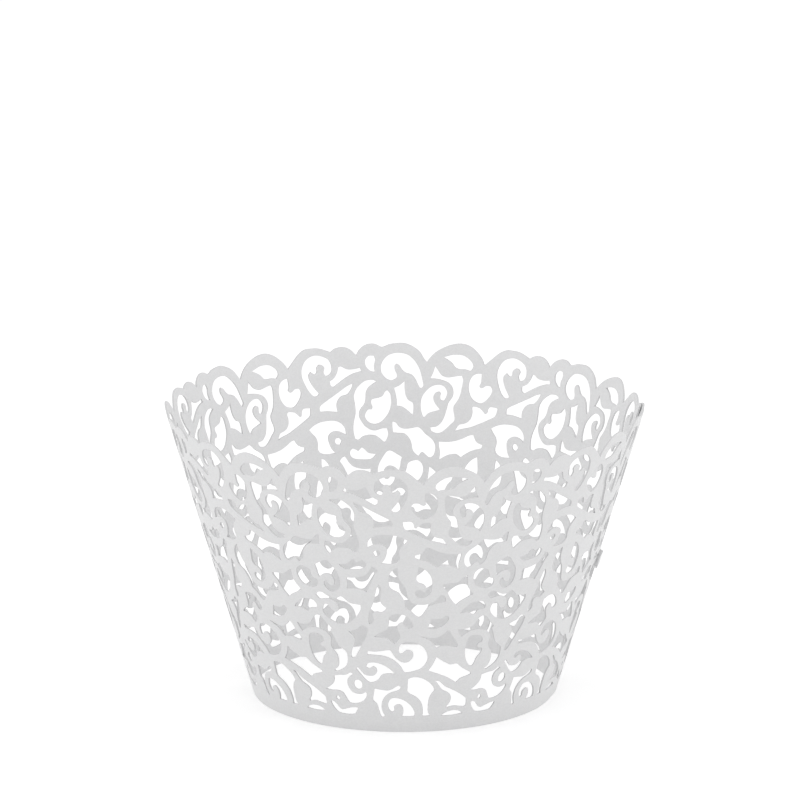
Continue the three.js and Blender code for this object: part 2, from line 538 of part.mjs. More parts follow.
// Turn the shared edge of two triangles wherever that makes them rounder
function roundTriangles(points, faces) {
  const cross = (a, b, c) => (
    points[b].clone().sub(points[a]).cross(points[c].clone().sub(points[a]))
  );
  const angleAt = (corner, one, other) => {
    const first = points[one].clone().sub(points[corner]);
    const second = points[other].clone().sub(points[corner]);
    return Math.abs(first.angleTo(second));
  };
  const owner = new Map();
  const name = (a, b) => a * points.length + b;
  const claim = (face) => {
    const [a, b, c] = face;
    owner.set(name(a, b), face).set(name(b, c), face).set(name(c, a), face);
  };
  faces.forEach(claim);
  let turned = true;
  for (let pass = 0; turned && pass < mostPasses; pass += 1) {
    turned = false;
    for (const face of faces) {
      for (let side = 0; side < 3; side += 1) {
        const [a, b, c] = [face[side], face[(side + 1) % 3], face[(side + 2) % 3]];
        const other = owner.get(name(b, a));
        const d = other?.find((corner) => corner !== a && corner !== b);
        const thin = other && angleAt(c, a, b) + angleAt(d, a, b) > Math.PI + roundEnough;
        if (thin && cross(c, a, d) > smallestTurn && cross(d, b, c) > smallestTurn) {
          owner.delete(name(a, b));
          owner.delete(name(b, a));
          face.splice(0, 3, c, a, d);
          other.splice(0, 3, d, b, c);
          claim(face);
          claim(other);
          turned = true;
        }
      }
    }
  }
}

// One closed body: the outer face, the inner face and the cut edges between them
function buildSheet() {
  const outline = sheetOutline();
  const holes = [...cutLoops(), slotLoop()].map((loop) => (
    THREE.ShapeUtils.isClockWise(loop) ? loop : loop.reverse()
  ));
  const bowed = holes.map((loop) => loop.map(onBowedTable));
  const faces = THREE.ShapeUtils.triangulateShape(outline.map(onBowedTable), bowed);
  const flat = [...outline, ...holes.flat()];
  roundTriangles(flat.map(onTable), faces);
  const count = flat.length;
  const indices = faces.flatMap(([a, b, c]) => [a, b, c, c + count, b + count, a + count]);
  let first = 0;
  for (const loop of [outline, ...holes]) {
    for (let step = 0; step < loop.length; step += 1) {
      const here = first + step;
      const next = first + ((step + 1) % loop.length);
      indices.push(here, here + count, next, here + count, next + count, next);
    }
    first += loop.length;
  }
  const positions = [0, cardThickness].flatMap((depth) => (
    flat.flatMap((point) => onCone(point, depth))
  ));
  const geometry = new THREE.BufferGeometry();
  geometry.setAttribute("position", new THREE.Float32BufferAttribute(positions, 3));
  geometry.setIndex(indices);
  geometry.computeVertexNormals();
  return geometry;
}

const pearlCard = new THREE.MeshStandardMaterial({ color: 0xe8e8ea, roughness: 0.45, metalness: 0 });
const wrapper = new THREE.Mesh(buildSheet(), pearlCard);
wrapper.name = "wrapper";

const cupcakeWrapper = new THREE.Group();
cupcakeWrapper.name = "cupcake_wrapper";
cupcakeWrapper.add(wrapper);

export default cupcakeWrapper;
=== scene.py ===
# %% [markdown]
# # A cupcake wrapper in cut pearl card
# The real wrapper is one flat strip of pearl card. A laser cuts a vine scroll out of it, then
# the strip is rolled to a cone and its ends lap over each other, held by a tab in a slot.
# This lesson makes it in the same order: draw the cut-outs flat, repeat them along the
# strip, fill the card that is left, give it its thickness, and roll it up.

# %% Load the frame
import math
import bpy
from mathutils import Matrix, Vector


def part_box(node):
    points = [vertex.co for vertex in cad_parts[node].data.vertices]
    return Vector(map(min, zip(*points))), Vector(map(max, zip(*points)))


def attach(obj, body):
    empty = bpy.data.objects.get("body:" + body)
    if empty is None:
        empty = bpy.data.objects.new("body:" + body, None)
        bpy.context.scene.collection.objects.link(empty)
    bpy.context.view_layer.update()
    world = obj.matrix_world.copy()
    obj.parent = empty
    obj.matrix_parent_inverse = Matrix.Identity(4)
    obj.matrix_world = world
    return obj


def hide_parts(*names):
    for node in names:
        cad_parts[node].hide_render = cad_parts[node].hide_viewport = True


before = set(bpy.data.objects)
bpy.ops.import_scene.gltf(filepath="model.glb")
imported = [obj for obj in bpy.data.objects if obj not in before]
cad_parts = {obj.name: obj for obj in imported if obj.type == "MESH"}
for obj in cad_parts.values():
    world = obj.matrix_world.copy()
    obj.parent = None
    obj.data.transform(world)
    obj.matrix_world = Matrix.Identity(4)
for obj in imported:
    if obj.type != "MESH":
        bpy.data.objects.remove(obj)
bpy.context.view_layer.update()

low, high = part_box("wrapper")
print("wrapper in the frame, mm:", [round(side * 1000, 1) for side in high - low])

# %% [markdown]
# ## The sizes
# Everything is drawn in millimetres, as a paper cutter's file is, and turned to metres when
# the sheet is rolled. The seam's sizes say how far the ends lap and where the tab sits.

# %% Sizes in millimetres
BASE_RADIUS = 25.0
MOUTH_RADIUS = 39.5
HEIGHT = 49.0
CARD_THICKNESS = 0.3
REPEATS = 7
BAND_HEIGHT = 2.9
SEAM_DEGREES = 1.4
SEAM_OVERLAP = 2.4
SEAM_MARGIN = 3.2
LAYER_GAP = 0.22
LIFT_LENGTH = 9.0
PATTERN_START = 0.816
TAB_LEVEL = 24.0
TAB_HEIGHT = 2.3
TAB_LENGTH = 5.4
TAB_CORNER = 0.6
SLOT_MARGIN = 0.3
SLOT_START = 0.2
SLOT_WIDTH = 2.0
MILLIMETRE = 0.001

SLANT = math.hypot(HEIGHT, MOUTH_RADIUS - BASE_RADIUS)
FULL_TURN = math.pi * (BASE_RADIUS + MOUTH_RADIUS)
REPEAT_WIDTH = FULL_TURN / REPEATS
SHEET_END = FULL_TURN + SEAM_OVERLAP
print("sheet:", round(SHEET_END, 1), "mm long,", round(SLANT, 1), "mm up the slope")

# %% [markdown]
# ## The vine scroll, drawn flat
# One repeat of the scroll holds all its cut-outs. Each is a short list of points,
# [along the card, up from the base], read off. Only the points that a curve needs
# are given, because the next step joins them smoothly and keeps the sharp tips.

# %% Foot of the vine
foot_cutouts = [
    [[8.6, 3], [9.5, 3.5], [10.7, 3.8], [12.1, 3.7], [13.1, 3.1], [10.8, 2.9]],
    [
        [14.7, 5.1], [15.1, 5.2], [15.8, 4.8], [16.4, 4.1], [16.8, 3.8], [17.3, 3.8], [18.2, 4.1],
        [19.4, 4.4], [20.3, 4.4], [20, 3.8], [19.5, 3.2], [18.5, 3], [17, 3], [16, 3.2], [15.3, 3.8],
        [14.8, 4.6],
    ],
    [[16, 5.7], [16.5, 5.5], [16.8, 5.9], [16.6, 6.3], [16.1, 6.3]],
    [
        [14.1, 7.4], [14.9, 7.9], [15.7, 8.6], [16.1, 9.4], [16.1, 10.1], [17.4, 10.4], [18.5, 10.5],
        [19.5, 11.1], [20, 10.8], [19.1, 10.2], [18.7, 9.4], [18.8, 8.4], [19.4, 7.5], [20.3, 7.1],
        [21.3, 7.1], [22.2, 7.5], [22.3, 6.9], [21.6, 5.9], [20.4, 5.3], [18.9, 5.2], [18.3, 5.8],
        [17.6, 7], [16.6, 7.4], [15.3, 7.3],
    ],
    [[20.8, 8], [21.4, 8.3], [21.6, 8.9], [21.4, 9.5], [20.8, 9.8], [20.2, 9.5], [20, 8.9], [20.2, 8.3]],
    [
        [7, 9.8], [7.8, 9.6], [8.8, 8.7], [9.9, 8.1], [11.3, 7.4], [13.4, 6], [13.7, 5.3], [13.7, 4.6],
        [13.2, 4.4], [11.3, 4.7], [10.3, 4.6], [9.8, 4.4], [9.7, 4.8], [10.2, 5.4], [10.4, 6.3],
        [10, 7.2], [8.7, 7.9], [8.2, 8.4], [7.6, 9.2],
    ],
    [
        [23.9, 8.3], [26.1, 8], [27.1, 8.2], [27.8, 8.6], [28.4, 9], [28.8, 8.8], [28.7, 8.3],
        [27.9, 7.9], [26.9, 7.6], [26.1, 7.1], [25.4, 6.3], [25.1, 5.3], [25.1, 4.4], [25.4, 3.6],
        [25.7, 3.1], [25.3, 2.9], [24.9, 3.1], [24.6, 4.1], [24.2, 5.4], [23.5, 6.1], [23.7, 7.2],
    ],
    [
        [27.2, 3.9], [26.7, 4.3], [26.4, 5.1], [26.6, 5.9], [27, 6.4], [27.6, 6.6], [28.5, 6.5],
        [29.4, 6.2], [30.3, 5.6], [31, 4.9], [31.5, 4], [31.6, 3.5], [31.3, 3.1], [29.1, 3.1],
        [29.4, 3.8], [29.4, 4.5], [29.1, 5.1], [28.6, 5.4], [28, 5.3], [27.5, 4.9], [27.6, 4.2],
    ],
    [
        [2, 7.7], [1.9, 8.6], [2, 10.3], [3, 10.6], [4, 10.5], [5, 10.1], [6, 9.4], [6.7, 8.6],
        [7, 7.9], [6.4, 7.2], [6, 6.2], [5.9, 4.8], [6, 3.7], [6.4, 3.1], [4.9, 3.1], [5, 4],
        [4.8, 5.2], [4.3, 6.1], [3.4, 6.9],
    ],
]
print("foot of the vine:", len(foot_cutouts), "cut-outs")

# %% Lower scrolls
lower_cutouts = [
    [
        [20.7, 11.9], [21, 12.2], [21.4, 11.8], [22.2, 10.9], [23.2, 10.7], [24.1, 10.9], [24.6, 11.6],
        [24.4, 12.3], [23.9, 12.6], [23.1, 12.1], [22.6, 12.4], [22.9, 13], [23.7, 13.3], [24.8, 13.2],
        [26.1, 12.7], [27.2, 11.9], [27.9, 11.2], [26.6, 11.3], [25.4, 11], [24.7, 10.1], [23.9, 9.6],
        [23.1, 9.5], [22.4, 9.9], [21.6, 10.8],
    ],
    [
        [5.6, 11.8], [6.4, 12.9], [7, 14.3], [7.8, 13.7], [8.8, 13.1], [9.7, 12.7], [10.8, 12.8],
        [11.9, 11.9], [13.8, 10.8], [13.8, 10.5], [12.9, 10.2], [11.9, 9.9], [11.1, 9.2], [10, 9.9],
        [8.7, 10.6],
    ],
    [
        [16.4, 11.3], [16.9, 11.1], [17.9, 11.6], [18.7, 12.2], [19.2, 13.1], [19.3, 14.2], [19.1, 15.1],
        [18, 16], [17.5, 16.9], [17.1, 18], [16.7, 18.9], [17, 19.3], [16.2, 20.2], [15.4, 21.2],
        [14.9, 21.5], [14.3, 21.4], [13.7, 20.8], [13.2, 20], [12.4, 19.5], [11.4, 19.3], [10.3, 19.4],
        [10.8, 18.3], [11.1, 17.9], [12.4, 18.7], [13.4, 19], [14.7, 18.9], [15.8, 18.5], [16.5, 17.7],
        [16.6, 16.9], [16.4, 16.1], [16.7, 15.2], [17.3, 14.4], [17.5, 13.3], [17.4, 12.4], [17, 11.7],
    ],
    [
        [13, 17.9], [14.1, 17.9], [14.9, 17.6], [15.2, 17], [15.1, 16.5], [14.6, 16.3], [14.3, 15.9],
        [14.6, 15.6], [15.2, 15.4], [15.4, 14.9], [15.1, 14.2], [14.6, 13.6], [14.1, 12.3],
        [13.6, 12.1], [12.9, 12.7], [12.3, 14], [12.1, 15.6], [12.3, 17.2],
    ],
    [
        [19.9, 19], [20.7, 19.3], [21.6, 19.6], [22.1, 20.2], [22.8, 20.3], [23.4, 19.7], [23.1, 18.4],
        [22.3, 16.9], [21.5, 15.5], [20.8, 14.3], [20.3, 14], [20, 14.3], [20.2, 15.4], [20.7, 16.5],
        [21, 17.5], [20.6, 18.4],
    ],
    [
        [23, 15.5], [24.3, 15.4], [25.7, 15.6], [26.9, 15.8], [27.3, 15.4], [27.9, 14.4], [28.7, 13.7],
        [29.6, 13.4], [30.5, 13.7], [31.1, 14.5], [31.1, 15.3], [30.6, 15.8], [29.9, 15.8],
        [29.3, 15.3], [28.8, 15.1], [28.6, 15.6], [28.7, 16.4], [29.2, 17.1], [30.1, 17.4],
        [31.2, 17.3], [32.2, 16.8], [33, 16.1], [33.5, 15.1], [33.7, 14], [33.3, 13], [32.5, 12.2],
        [31.4, 11.8], [29.8, 11.5], [29.3, 12], [28.9, 12.7], [28, 13.6], [26.9, 14.3], [25.4, 14.7],
        [23, 14.8],
    ],
    [
        [3.8, 18.5], [5, 18.2], [6.4, 18], [7.4, 18.3], [8.1, 18.8], [8.5, 19.3], [9, 19.2], [9.5, 18.3],
        [10.6, 16.6], [10.5, 16], [9.5, 16.2], [8.5, 16.4], [7.4, 16.3], [6.9, 16.1], [6.2, 17],
        [5.3, 17.8],
    ],
]
print("lower scrolls:", len(lower_cutouts), "cut-outs")

# %% Middle scrolls
middle_cutouts = [
    [
        [5.7, 21.7], [6.6, 21.6], [7.4, 21.7], [8, 22.1], [8.5, 22.1], [8.7, 21.6], [8.4, 20.9],
        [7.8, 20.3], [7, 19.9], [6.1, 19.7], [5.2, 19.9], [5.4, 20.6],
    ],
    [
        [10.5, 22.4], [10.8, 23], [11.4, 23.6], [12.3, 24.2], [13.4, 24.4], [14.3, 24.2], [14.8, 23.6],
        [14.8, 22.9], [14.1, 22.8], [13.5, 22.7], [13.2, 22.1], [12.8, 22], [12.2, 22.3], [11.5, 22.5],
    ],
    [
        [14.9, 25.4], [15.4, 25.9], [16.1, 26], [16.7, 25.6], [17.5, 25.2], [18.4, 25.1], [19.1, 25.5],
        [19.5, 25.5], [20.1, 24.9], [20.8, 24.4], [22.4, 24.2], [22.4, 23.4], [21.8, 22.3], [21, 21.3],
        [20.1, 20.6], [19, 20.3], [17.9, 20.5], [16.9, 21], [16.1, 21.8], [15.8, 22.6], [16, 23.4],
        [16.4, 23.8], [16.9, 23.7], [17.3, 23.1], [17.8, 22.5], [18.4, 22.6], [18.7, 23.3],
        [18.5, 24.2], [17.9, 24.7], [17, 24.9], [16.2, 24.8], [15.5, 24.7],
    ],
    [
        [23.6, 21], [23.8, 20.6], [24.3, 21], [24.5, 21.6], [24.3, 22.3], [24.5, 22.9], [25.1, 23.1],
        [25.9, 23], [26.7, 23.8], [26.1, 24.3], [25.7, 25], [25.7, 25.8], [25.9, 26.7], [25.9, 27.5],
        [25.6, 28.3], [25.3, 27.8], [25, 26.7], [24.4, 24.3], [23.8, 22.9],
    ],
    [
        [24.4, 18.3], [25.1, 18.9], [25.9, 19.3], [26.6, 19.7], [26.9, 20.4], [27, 21.3], [27, 22.2],
        [27.8, 22.6], [28.7, 22.7], [29.7, 22.4], [30.5, 21.6], [31, 20.6], [30.8, 20.1], [30.1, 19.9],
        [29.7, 20.3], [29.4, 20.9], [29, 21.1], [28.6, 20.8], [28.3, 20.3], [28.5, 19.5], [28.9, 18.4],
        [28.4, 17.5], [27.9, 17], [27.4, 17.4], [26.5, 18.1], [25.6, 18.2],
    ],
    [
        [0.2, 31.6], [-0.4, 31.2], [-1, 30.3], [-1.2, 29.2], [-1.1, 28], [-0.7, 27.4], [0.3, 26.8],
        [0.9, 25.9], [1.3, 24.9], [1.4, 24], [2.3, 23.3], [3, 22.5], [3.6, 22.1], [4.1, 22.4],
        [4.6, 23.2], [5.2, 24.1], [6, 24.5], [7.2, 24.7], [7.9, 24.9], [7.8, 25.7], [7.4, 26.1],
        [6.9, 26], [6.3, 25.2], [5.5, 24.7], [4.3, 24.4], [3.2, 24.5], [2.3, 25], [1.9, 25.8],
        [1.6, 27], [1.3, 27.9], [0.7, 28.8], [0.3, 29.9], [0.3, 30.8],
    ],
    [
        [7.2, 28.1], [7.4, 27.5], [8, 26.8], [8.4, 25.9], [9, 24.9], [9.7, 24.1], [10.3, 24.7],
        [11.3, 25.3], [12.4, 25.9], [11.8, 26.7], [11.3, 27.6], [11.2, 28.6], [11.1, 29.6],
        [10.4, 29.1], [9.5, 28.4], [8.4, 28.3],
    ],
    [
        [3.4, 31.7], [4.2, 31.2], [4.9, 30.4], [5.4, 29.4], [5.6, 28.2], [5.5, 27], [5.1, 26.2],
        [4.4, 25.8], [3.6, 25.8], [3, 26.3], [3, 27], [3.4, 27.3], [4, 27.1], [4.4, 26.8], [4.7, 27.2],
        [4.6, 27.9], [4.1, 28.4], [3.4, 28.7], [3.1, 29.3], [3.2, 30.4],
    ],
]
print("middle scrolls:", len(middle_cutouts), "cut-outs")

# %% Upper scrolls
upper_cutouts = [
    [
        [2.8, 33.8], [3.8, 34.2], [4.4, 35.3], [5.1, 35.1], [6.1, 34.5], [7.4, 34], [8.7, 33.8],
        [9.8, 33.8], [9.7, 32.9], [9.5, 31.9], [9.6, 30.8], [8.4, 31.6], [7.3, 31.9], [6.7, 31.8],
        [6.2, 31.4], [5.5, 32], [4.4, 32.7], [3, 33.2],
    ],
    [
        [11, 31.1], [10.5, 31.6], [10.3, 32.5], [10.4, 33.4], [10.9, 34.2], [11.9, 35], [12.5, 35.7],
        [13.1, 36.1], [14, 35.9], [15.1, 35.8], [15.9, 36.1], [16.4, 36.8], [16.9, 37], [16.9, 36.2],
        [16.8, 35.2], [16, 35.1], [15.1, 35], [14.4, 34.3], [14, 33.4], [13.8, 32.3], [13.4, 31.7],
        [12.9, 31.3], [12.6, 31.8], [12.3, 32], [11.8, 31.6], [11.4, 31.2],
    ],
    [
        [13, 30.6], [13.8, 30.5], [14.5, 30.1], [14.7, 29.3], [15, 28.6], [15.5, 28.5], [15.7, 27.9],
        [15.5, 27.2], [14.9, 26.8], [14.1, 26.8], [13, 27.2], [12.4, 27.9], [12.1, 29], [12.3, 30],
    ],
    [
        [15.5, 31.1], [16.4, 31.7], [17.3, 32.2], [17.9, 32], [18.6, 31], [19.2, 29.9], [19.4, 28.7],
        [19.3, 27.6], [18.8, 26.7], [17.9, 26.3], [17.2, 26.6], [16.7, 27.4], [16.7, 28.1],
        [17.2, 28.4], [17.4, 27.9], [17.8, 27.5], [18.3, 27.6], [18.5, 28.3], [18.2, 29.3],
        [17.5, 29.7], [16.7, 29.5], [16, 28.9], [15.8, 29.6], [15.7, 30.4],
    ],
    [
        [19.5, 31.7], [20.3, 31.8], [20.9, 32], [21.4, 32.6], [21.8, 32.9], [22.1, 32.6], [22.4, 32.3],
        [22.8, 32.6], [23.3, 32.8], [23.7, 32.3], [23.6, 31.6], [23, 31.1], [21.8, 30.9], [20.4, 30.9],
    ],
    [
        [20.5, 29.3], [21.6, 29.3], [22.9, 29.6], [23.7, 30.1], [24.2, 30.9], [24.6, 31.6],
        [25.1, 31.4], [25.5, 30.9], [25, 30.1], [24.5, 28.9], [24, 27.6], [23.6, 26.7], [22.9, 27.1],
        [22.1, 27.3], [20.4, 27.2], [20.6, 28.2],
    ],
    [
        [19.1, 43.7], [19.7, 44], [20.7, 43.9], [21.6, 43.2], [22.2, 42.4], [22.5, 41.4], [22.4, 40.1],
        [22.4, 38.6], [22.8, 37], [22.9, 35.7], [22.7, 34.4], [22.2, 34.2], [21.5, 34.7], [20.6, 34.9],
        [19.6, 34.8], [18.9, 34.3], [18.2, 33.6], [17.8, 34.1], [17.6, 35], [17.8, 35.9], [18.5, 35.9],
        [19.5, 35.6], [20.4, 35.8], [21.2, 36.5], [21.8, 37.6], [21.9, 38.5], [21.6, 39.3],
        [21, 40.1], [20.8, 41], [20.7, 42], [20.2, 42.9],
    ],
    [
        [17.1, 40.8], [17.2, 41.6], [17.6, 42.2], [17.9, 42], [18.3, 41.3], [18.9, 41], [19.8, 40.8],
        [20, 40.3], [19.8, 39.5], [20, 39.1], [20.5, 39.1], [20.9, 38.5], [21, 38], [20.7, 37.3],
        [20.1, 36.8], [19.3, 36.7], [18.5, 37.1], [17.8, 37.9], [17.3, 38.9], [17.1, 39.9],
    ],
    [
        [15.1, 43.7], [15.8, 43], [16.6, 42.6], [16.4, 41.8], [16.2, 40.6], [16.2, 39.6], [15.5, 39.5],
        [14.8, 39], [13.9, 38.1], [13.8, 39.1], [13.9, 40.1], [14.5, 40.5], [14.9, 41.2], [15.1, 42.3],
    ],
    [
        [8.9, 41.9], [9.1, 42.6], [9.6, 43.1], [10.4, 43.2], [11.3, 42.8], [12.1, 41.9], [12.6, 40.8],
        [12.7, 39.5], [12.5, 38.3], [12.2, 37.7], [11.6, 38.4], [10.9, 38.7], [9.8, 39.1], [10.4, 39.8],
        [10.8, 40.5], [10.9, 41.3], [10.6, 41.9], [10.1, 42.1], [9.8, 41.8], [9.9, 41.2], [9.8, 40.7],
        [9.4, 40.6], [9.1, 41.1],
    ],
    [
        [10.8, 46.3], [11, 45.3], [11.4, 44.2], [10.6, 44.2], [9.7, 44], [8.9, 43.7], [8.3, 43.1],
        [8, 42.2], [8.1, 41.2], [8.6, 40.3], [8.8, 39.4], [9.1, 38], [9.5, 37], [10.2, 36.3],
        [11.2, 36.1], [11, 35.5], [10.3, 35.2], [9.6, 35.3], [8.9, 35.9], [8.2, 36.7], [7.6, 37.4],
        [7.6, 38.2], [7.8, 39], [7.8, 39.9], [7.4, 40.6], [7, 41.6], [6.8, 42.9], [6.7, 44.2],
        [6.9, 44.9], [7.6, 44.8], [8.9, 44.5], [9.8, 44.8], [10.3, 45.5],
    ],
    [
        [24.1, 35.2], [24.2, 36.2], [24.8, 37.1], [25.7, 37.6], [26.8, 37.7], [28, 37.6], [29.1, 37.2],
        [30, 36.6], [29.6, 36], [29, 35.2], [28.8, 34.2], [28.9, 33.2], [28.4, 32.5], [27.4, 32.2],
        [26.1, 32.3], [26.6, 33], [26.9, 33.9], [27, 34.9], [26.6, 35.6], [25.8, 35.9], [24.9, 35.7],
    ],
    [[25.2, 33.6], [25.7, 33.7], [26, 34.2], [25.8, 34.7], [25.3, 34.7], [24.9, 34.2]],
]
print("upper scrolls:", len(upper_cutouts), "cut-outs")

# %% Top scrolls, under the scallops
top_cutouts = [
    [
        [5.4, 46.4], [5.5, 47.1], [6.1, 47.8], [7, 48.3], [8.3, 48.3], [9.7, 47.8], [9, 47.4],
        [8.4, 46.9], [8, 46.3], [7.4, 46], [6.5, 46], [5.8, 45.8],
    ],
    [
        [4, 45.5], [4.8, 45.4], [5.5, 44.7], [5.8, 43.6], [5.7, 42.4], [5.2, 41.3], [4.3, 40.7],
        [3.6, 40.7], [2.9, 41.3], [2.3, 42.3], [2.2, 43.1], [2.5, 43.6], [3.1, 43.6], [3.5, 43.3],
        [3.9, 43.1], [4.2, 43.5], [4, 44.1],
    ],
    [
        [28, 42], [27.7, 42.3], [28, 42.8], [28.5, 43.6], [28.9, 44.6], [29, 45.5], [28.6, 46.1],
        [28.2, 45.7], [27.9, 45.6], [27.7, 46], [27.7, 46.6], [27.3, 47.1], [26.8, 47], [26.5, 46.5],
        [26.7, 45.8], [26.4, 45.1], [25.9, 45.3], [25.5, 45.9], [25.5, 46.9], [25.9, 47.8],
        [26.7, 48.4], [27.8, 48.7], [28.9, 48.3], [29.6, 47.5], [30, 46.4], [30, 45.2], [29.6, 43.8],
        [29.1, 42.7], [28.5, 42],
    ],
    [
        [21.2, 45.5], [21.4, 46.1], [22.4, 45.9], [23.4, 46], [24.1, 46.5], [24.5, 46.4], [24.7, 45.6],
        [25.2, 44.7], [25.9, 44.2], [25.8, 43.5], [25.4, 43.2], [24.6, 43.8], [23.5, 44.6],
        [22.4, 45.2],
    ],
    [
        [22.5, 43.6], [23.4, 43.2], [24.4, 42.5], [25.6, 41.7], [26.7, 41], [27.8, 40.2], [27.8, 39.3],
        [26.7, 39.3], [25.1, 39], [25.2, 40.1], [24.9, 41], [24.3, 41.6], [23.5, 41.8], [23, 42.4],
        [22.7, 43],
    ],
    [
        [12.8, 42.5], [12.4, 43], [12.6, 44.1], [13, 45.7], [13.7, 47.1], [14.7, 48.1], [16, 48.4],
        [17.2, 48.1], [18, 47.3], [18.4, 46.2], [18.3, 45.1], [17.7, 44.2], [17, 43.8], [16.3, 44.2],
        [16.2, 44.8], [16.5, 45.6], [16.5, 46.3], [16.2, 46.6], [15.8, 46.3], [15.4, 45.6],
        [14.9, 45.1], [14.1, 44.8], [13.5, 44], [13.1, 43],
    ],
    [
        [19.4, 48], [20.1, 48], [20.6, 47.3], [20.5, 46.3], [19.9, 45.5], [19.3, 45.3], [19.4, 46.3],
        [19.2, 47.2],
    ],
    [
        [1, 40.1], [2.1, 40.2], [2.5, 39.7], [2.6, 39.1], [2.9, 38.9], [3.2, 39.3], [3.8, 39.8],
        [4.7, 40], [5, 39.7], [4.9, 39], [5, 38.1], [5.4, 37.4], [6, 37], [6.7, 36.8], [7.1, 36.2],
        [7.4, 35.7], [6.4, 36.1], [5.1, 36.5], [4.1, 37], [3, 37.6], [1.9, 38.3], [1.2, 38.9],
    ],
]
print("top scrolls:", len(top_cutouts), "cut-outs")

# %% All the cut-outs of one repeat
cutouts = foot_cutouts + lower_cutouts + middle_cutouts + upper_cutouts + top_cutouts
print(len(cutouts), "cut-outs drawn")

# %% Scalloped top edge, from one valley to the next
scallops = [
    [3.8, 47], [4.1, 47.8], [4.9, 48.9], [5.9, 49.8], [7, 50.2], [8.2, 50.1], [9.4, 49.6],
    [10.6, 48.8], [11.5, 47.8], [12, 46.9], [12.4, 47.5], [13, 48.6], [14, 49.5], [15.1, 50],
    [16.2, 50], [17.3, 49.8], [18.2, 49.4], [19, 49.9], [19.9, 50], [20.7, 49.7], [21.4, 49],
    [21.8, 48.2], [22.3, 48.9], [23, 49.5], [23.9, 49.7], [24.8, 49.5], [25.4, 49], [26.1, 49.4],
    [27.1, 49.8], [28.2, 49.9], [29.2, 49.8], [30.1, 49.2], [31, 48.2], [31.6, 47.5], [32.1, 47],
]
print("top edge of a repeat:", len(scallops), "points")

# %% [markdown]
# ## From points to smooth outlines
# A laser follows smooth curves with sharp corners where two curves meet. A Catmull-Rom
# curve runs through every point it is given, so it keeps to the drawing. Where the outline
# turns sharply the curve is broken, and that leaves the pointed tips of the leaves.

# %% Smooth curves with sharp corners
CORNER_TURN = math.radians(58)
CURVE_STEPS = 3
drawn_width = scallops[-1][0] - scallops[0][0]
drawn_top = max(up for along, up in scallops)
drawn_bottom = min(up for cutout in cutouts for along, up in cutout)


def on_card(point):
    """A drawn point at its place on the real card."""
    along, up = point
    share = (up - drawn_bottom) / (drawn_top - drawn_bottom)
    return Vector((along / drawn_width * REPEAT_WIDTH, BAND_HEIGHT + share * (SLANT - BAND_HEIGHT)))


def turn_at(before, point, after):
    """How far a line turns at a point."""
    return abs((point - before).angle_signed(after - point, 0.0))


def curve_between(before, start, end, after):
    """Points on the smooth curve from start up to, but not at, end."""
    leaving = (end - before) / 2
    arriving = (after - start) / 2
    bend = 3 * (end - start) - 2 * leaving - arriving
    twist = 2 * (start - end) + leaving + arriving
    shares = [step / CURVE_STEPS for step in range(CURVE_STEPS)]
    return [start + leaving * t + bend * t ** 2 + twist * t ** 3 for t in shares]


def smooth_line(points):
    """An open line through the points, broken at its corners."""
    last = len(points) - 1
    sharp = [0] + [
        i for i in range(1, last) if turn_at(points[i - 1], points[i], points[i + 1]) > CORNER_TURN
    ] + [last]
    line = []
    for first, final in zip(sharp, sharp[1:]):
        for i in range(first, final):
            before = points[max(i - 1, first)]
            after = points[min(i + 2, final)]
            line += curve_between(before, points[i], points[i + 1], after)
    return line + [points[-1]]


def smooth_loop(points):
    """A closed outline through the points, begun at its sharpest corner."""
    count = len(points)
    turns = [turn_at(points[i - 1], points[i], points[(i + 1) % count]) for i in range(count)]
    first = turns.index(max(turns))
    ring = points[first:] + points[:first]
    if turns[first] > CORNER_TURN:
        return smooth_line(ring + ring[:1])[:-1]
    loop = []
    for i in range(count):
        loop += curve_between(ring[i - 1], ring[i], ring[(i + 1) % count], ring[(i + 2) % count])
    return loop


repeat_loops = [smooth_loop([on_card(point) for point in cutout]) for cutout in cutouts]
print(len(repeat_loops), "cut-outs in a repeat,", sum(map(len, repeat_loops)), "points")

# %% [markdown]
# ## Plain ends for the seam
# Both ends of the strip stay plain where they lap, so that the card holds together there.
# A cut-out that would cross into the plain end is cut off along a straight line. A bent
# shape can fall into several pieces, so its open chains are joined again along the cut.

# %% Cut loops off at the plain ends
PLAIN_FROM = SEAM_OVERLAP
PLAIN_TO = FULL_TURN - SEAM_MARGIN
SPARE_REPEATS = 2
SMALLEST_CUT_SHARE = 0.00048
SMALLEST_CUT = SMALLEST_CUT_SHARE * REPEAT_WIDTH * SLANT


def area_of(loop):
    """Area inside a flat loop."""
    return abs(sum(a.x * b.y - b.x * a.y for a, b in zip(loop, loop[1:] + loop[:1]))) / 2


def join_chains(chains):
    """Chains whose ends lie on one straight cut, joined to closed loops."""
    ends = sorted(
        [(chain[0].y, i, "start") for i, chain in enumerate(chains)]
        + [(chain[-1].y, i, "end") for i, chain in enumerate(chains)]
    )
    partner = {}
    for lower, upper in zip(ends[::2], ends[1::2]):
        partner[lower[1:]] = upper[1]
        partner[upper[1:]] = lower[1]
    loops, used = [], set()
    for first in range(len(chains)):
        loop, i = [], first
        while i not in used:
            used.add(i)
            loop += chains[i]
            i = partner[(i, "end")]
        if loop:
            loops.append(loop)
    return loops


